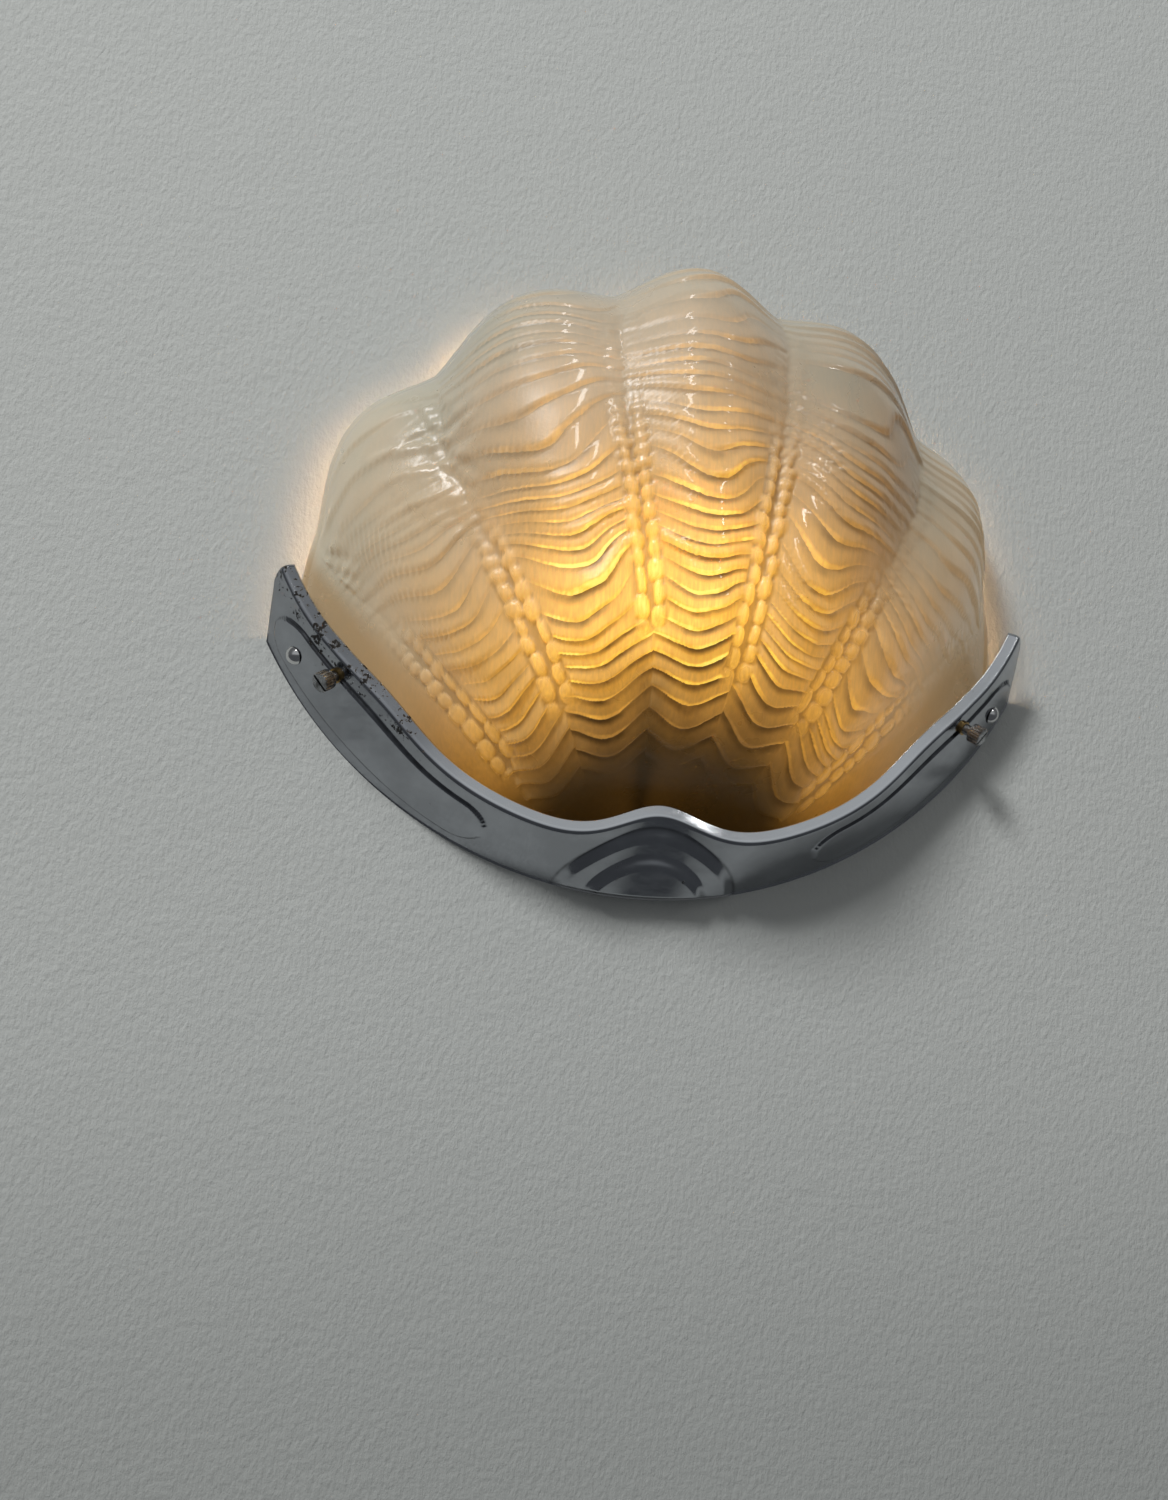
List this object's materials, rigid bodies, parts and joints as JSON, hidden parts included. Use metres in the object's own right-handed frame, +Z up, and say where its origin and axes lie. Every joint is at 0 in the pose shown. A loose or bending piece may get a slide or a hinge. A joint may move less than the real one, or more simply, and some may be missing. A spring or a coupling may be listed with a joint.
{
  "type": "shell wall sconce",
  "caption": "Wall light with a lobed half-shell glass shade standing in a pressed metal cradle, over a lamp in a bayonet holder on a slotted back plate.",
  "frame": {"origin": "on the wall, midway between the two wall screws", "axes": "+X to the viewer's right, +Y into the wall, +Z up"},
  "size_m": [0.3416, 0.0991, 0.2748],
  "materials": {
    "chrome_plate": "polished chrome, grey with age",
    "shade_glass": "pressed glass, satin inside, peach with an amber margin",
    "bulb_glass": "pearl lamp glass",
    "stem_glass": "clear lamp glass",
    "plate_steel": "off-white painted sheet steel",
    "zinc_steel": "bright zinc-plated steel",
    "brass": "turned brass",
    "spring_steel": "spring wire",
    "black_phenolic": "moulded, dark brown to black",
    "porcelain": "glazed white insulator",
    "pale_nylon": "pale nylon",
    "rubber_black": "soft black rubber",
    "cork": "pressed cork",
    "tungsten": "drawn wire",
    "aluminium": "drawn aluminium",
    "solder": "solder",
    "lead_brown": "brown insulation",
    "lead_blue": "blue insulation"
  },
  "bodies": {
    "mount": {"back_plate": "plate_steel", "cradle": "chrome_plate", "glass_shade": "shade_glass", "dome_screws": "chrome_plate", "ear_nuts": "zinc_steel", "clamp_inserts": "brass", "rest_pads": "cork", "cable_bush": "rubber_black", "lamp_bracket": "zinc_steel", "bracket_rivets": "zinc_steel", "entry_nipple": "brass", "nipple_locknut": "brass", "holder_cap": "brass", "holder_insulator": "porcelain", "holder_skirt": "brass", "shade_ring": "black_phenolic", "holder_terminals": "brass", "pinch_screws": "brass", "plunger_springs": "spring_steel", "terminal_block": "porcelain", "block_sleeves": "brass", "block_screws": "zinc_steel", "earth_screw": "brass", "earth_washer": "brass", "lead_live": "lead_brown", "lead_neutral": "lead_blue"},
    "pad_left": {"clamp_pad_left": "pale_nylon"},
    "screw_left": {"clamp_screw_left": "chrome_plate"},
    "pad_right": {"clamp_pad_right": "pale_nylon"},
    "screw_right": {"clamp_screw_right": "chrome_plate"},
    "lamp": {"lamp_contacts": "solder", "lamp_cap_glass": "black_phenolic", "lamp_cap": "aluminium", "lamp_pins": "brass", "lamp_bulb": "bulb_glass", "lamp_stem": "stem_glass", "lamp_filament": "tungsten"},
    "plungers": {"contact_plungers": "brass"}
  },
  "joints": [
    {"name": "lamp_press", "type": "slide", "parent": "mount", "child": "lamp", "axis": [0, 0, -1], "range_m": [0, 0.0022], "stiffness_N_per_m": 1500, "springref_m": -0.003, "deforming": ["plunger_springs"]},
    {"name": "plunger_press", "type": "slide", "parent": "mount", "child": "plungers", "axis": [0, 0, -1], "range_m": [0, 0.0022]},
    {"name": "clamp_slide_left", "type": "slide", "parent": "mount", "child": "pad_left", "axis": [-0.6022, -0.64, -0.4773], "range_m": [0, 0.0032]},
    {"name": "clamp_turn_left", "type": "hinge", "parent": "pad_left", "child": "screw_left", "pos_m": [-0.14133, -0.02386, 0.01299], "axis": [-0.6022, -0.64, -0.4773], "range_deg": [0, 1440]},
    {"name": "clamp_slide_right", "type": "slide", "parent": "mount", "child": "pad_right", "axis": [0.6022, -0.64, -0.4773], "range_m": [0, 0.0032]},
    {"name": "clamp_turn_right", "type": "hinge", "parent": "pad_right", "child": "screw_right", "pos_m": [0.14133, -0.02386, 0.01299], "axis": [0.6022, -0.64, -0.4773], "range_deg": [0, 1440]}
  ],
  "couplings": [
    {"joint": "plunger_press", "follows": "lamp_press", "ratio": 1},
    {"joint": "clamp_turn_left", "follows": "clamp_slide_left", "rad_per_m": 7854},
    {"joint": "clamp_turn_right", "follows": "clamp_slide_right", "rad_per_m": 7854}
  ]
}
